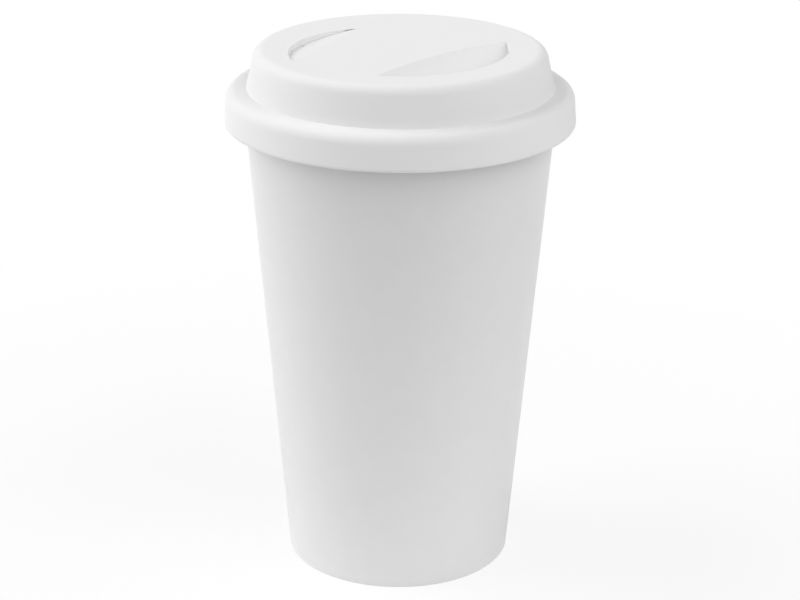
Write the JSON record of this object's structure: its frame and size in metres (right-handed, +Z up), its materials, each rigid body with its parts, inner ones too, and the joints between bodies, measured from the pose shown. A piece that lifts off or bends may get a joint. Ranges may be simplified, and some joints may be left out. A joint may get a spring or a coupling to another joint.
{
  "type": "lidded paper cup",
  "caption": "Tall tapered takeaway paper cup with a rolled rim, a recessed base disc and a moulded sip lid with a drinking scoop, a drinking slot and a shallow vent hollow",
  "frame": {"origin": "centre of the cup's standing ring, on the surface that it stands on", "axes": "+Z up along the cup's axis, -Y towards the drinking side of the lid, +Y towards the glued side seam of the sheet"},
  "size_m": [0.0958, 0.0958, 0.1474],
  "materials": {
    "coated_paper": "smooth coated white paperboard, matt to satin, no print",
    "moulded_lid": "smooth moulded white plastic, fine matt satin"
  },
  "bodies": {
    "root": {"cup_wall": "coated_paper", "base_disc": "coated_paper", "lid": "moulded_lid"}
  },
  "joints": []
}
